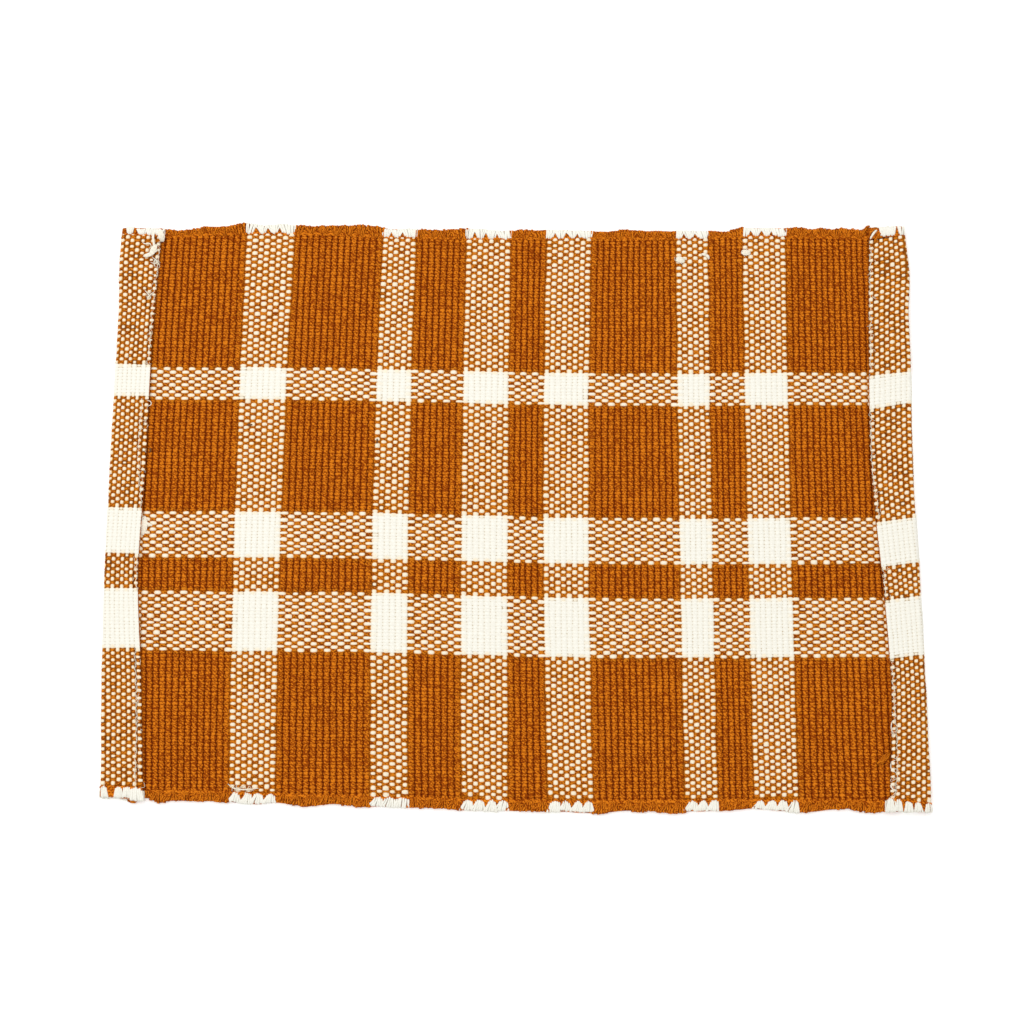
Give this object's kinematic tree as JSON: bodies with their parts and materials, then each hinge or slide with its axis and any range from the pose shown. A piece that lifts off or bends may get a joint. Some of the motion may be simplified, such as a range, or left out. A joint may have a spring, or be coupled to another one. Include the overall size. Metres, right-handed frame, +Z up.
{
  "type": "fabric placemat",
  "caption": "Flat rectangular handwoven cotton placemat with a stripe-and-check weave, woven selvedges on the long sides and turned hems on the short ends.",
  "frame": {"origin": "under the middle of the mat, on the surface that it lies on", "axes": "+X along the warp, the mat's long way; +Y along the weft, towards the picture's top; +Z up"},
  "size_m": [0.4612, 0.3366, 0.0044],
  "materials": {
    "woven_cotton": "matte plain-weave cotton, rust orange with off-white stripes and bands"
  },
  "bodies": {
    "root": {"placemat_cloth": "woven_cotton"}
  },
  "joints": []
}
